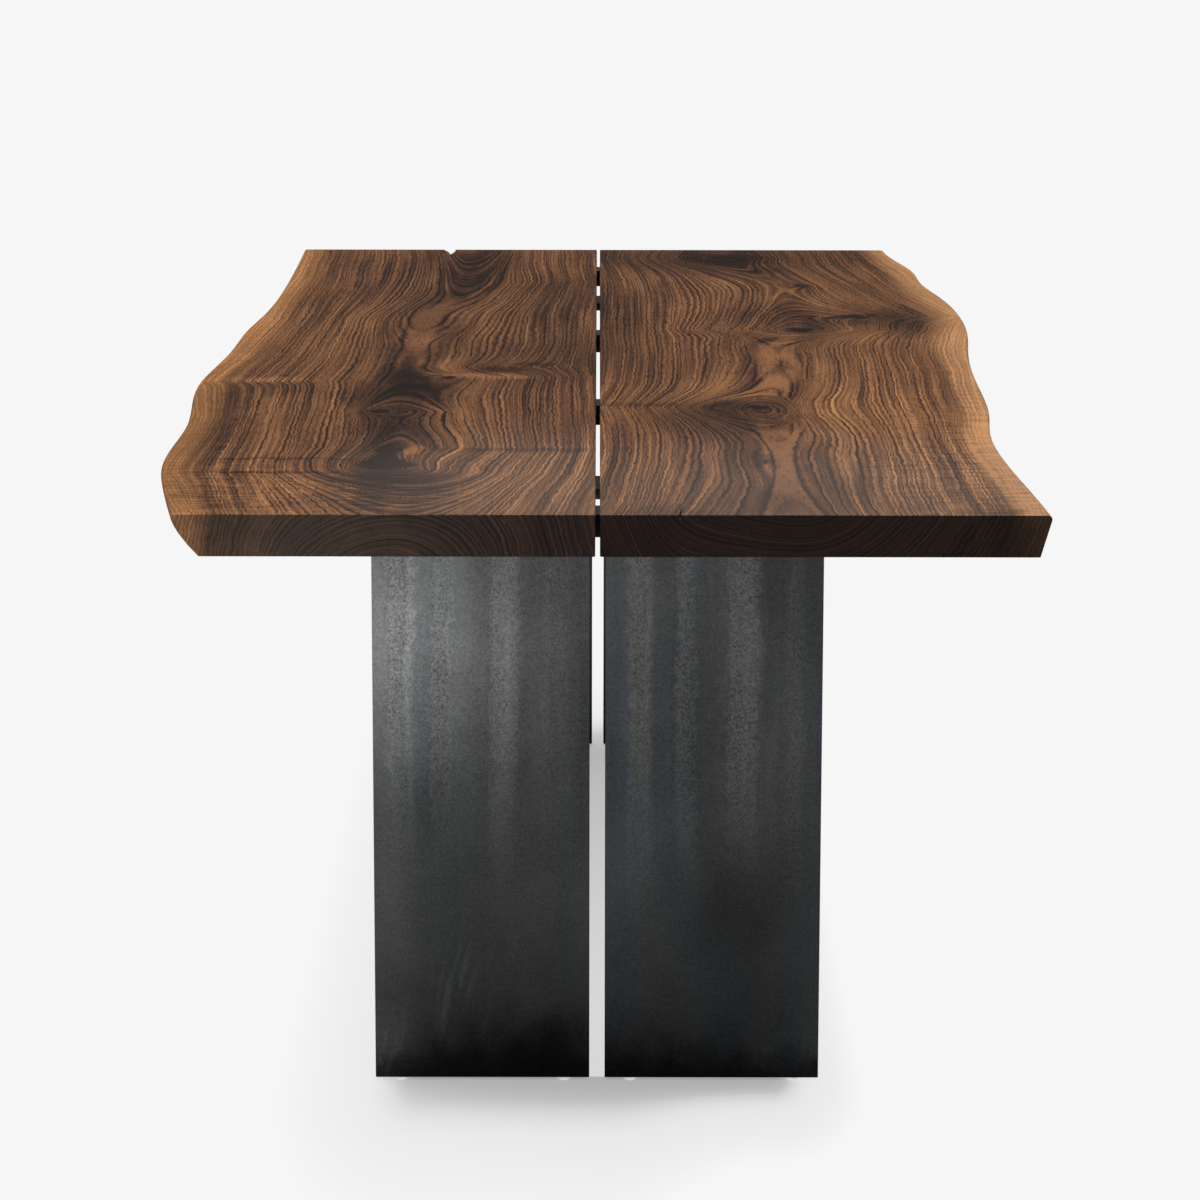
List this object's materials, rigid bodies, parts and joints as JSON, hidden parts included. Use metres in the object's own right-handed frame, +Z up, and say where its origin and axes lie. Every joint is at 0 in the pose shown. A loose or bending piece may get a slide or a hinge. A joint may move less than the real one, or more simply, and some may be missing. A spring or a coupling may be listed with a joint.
{
  "type": "plank table",
  "caption": "Dining table with live-edge walnut planks side by side over a narrow gap, on pairs of upright blackened steel plates with levelling glides.",
  "frame": {"origin": "on the floor, under the middle of the table", "axes": "+Z up, +Y along the planks from the front end to the back end, +X across the planks to the right"},
  "size_m": [1.0375, 2.2, 0.75],
  "materials": {
    "walnut": "satin",
    "blackened_steel": "satin",
    "weld_steel": "satin",
    "channel_steel": "matte",
    "fastener_steel": "satin",
    "insert_brass": "satin",
    "glide_plastic": "matte"
  },
  "bodies": {
    "table": {"plank_left": "walnut", "plank_right": "walnut", "leg_head_front": "blackened_steel", "leg_welds_front": "weld_steel", "leg_plate_front_left": "blackened_steel", "leg_plate_front_right": "blackened_steel", "leg_head_back": "blackened_steel", "leg_welds_back": "weld_steel", "leg_plate_back_left": "blackened_steel", "leg_plate_back_right": "blackened_steel", "channel_front_end": "channel_steel", "channel_front_mid": "channel_steel", "channel_back_mid": "channel_steel", "channel_back_end": "channel_steel", "head_bolts": "fastener_steel", "head_washers": "fastener_steel", "head_inserts": "insert_brass", "channel_bolts": "fastener_steel", "channel_washers": "fastener_steel", "channel_inserts": "insert_brass"},
    "glide_front_left_inner": {"glide_pad_front_left_inner": "glide_plastic", "glide_stud_front_left_inner": "fastener_steel"},
    "glide_front_left_outer": {"glide_pad_front_left_outer": "glide_plastic", "glide_stud_front_left_outer": "fastener_steel"},
    "glide_front_right_inner": {"glide_pad_front_right_inner": "glide_plastic", "glide_stud_front_right_inner": "fastener_steel"},
    "glide_front_right_outer": {"glide_pad_front_right_outer": "glide_plastic", "glide_stud_front_right_outer": "fastener_steel"},
    "glide_back_left_inner": {"glide_pad_back_left_inner": "glide_plastic", "glide_stud_back_left_inner": "fastener_steel"},
    "glide_back_left_outer": {"glide_pad_back_left_outer": "glide_plastic", "glide_stud_back_left_outer": "fastener_steel"},
    "glide_back_right_inner": {"glide_pad_back_right_inner": "glide_plastic", "glide_stud_back_right_inner": "fastener_steel"},
    "glide_back_right_outer": {"glide_pad_back_right_outer": "glide_plastic", "glide_stud_back_right_outer": "fastener_steel"}
  },
  "joints": [
    {"name": "glide_front_left_inner_height", "type": "slide", "parent": "table", "child": "glide_front_left_inner", "axis": [0, 0, -1], "range_m": [0, 0.008]},
    {"name": "glide_front_left_outer_height", "type": "slide", "parent": "table", "child": "glide_front_left_outer", "axis": [0, 0, -1], "range_m": [0, 0.008]},
    {"name": "glide_front_right_inner_height", "type": "slide", "parent": "table", "child": "glide_front_right_inner", "axis": [0, 0, -1], "range_m": [0, 0.008]},
    {"name": "glide_front_right_outer_height", "type": "slide", "parent": "table", "child": "glide_front_right_outer", "axis": [0, 0, -1], "range_m": [0, 0.008]},
    {"name": "glide_back_left_inner_height", "type": "slide", "parent": "table", "child": "glide_back_left_inner", "axis": [0, 0, -1], "range_m": [0, 0.008]},
    {"name": "glide_back_left_outer_height", "type": "slide", "parent": "table", "child": "glide_back_left_outer", "axis": [0, 0, -1], "range_m": [0, 0.008]},
    {"name": "glide_back_right_inner_height", "type": "slide", "parent": "table", "child": "glide_back_right_inner", "axis": [0, 0, -1], "range_m": [0, 0.008]},
    {"name": "glide_back_right_outer_height", "type": "slide", "parent": "table", "child": "glide_back_right_outer", "axis": [0, 0, -1], "range_m": [0, 0.008]}
  ]
}
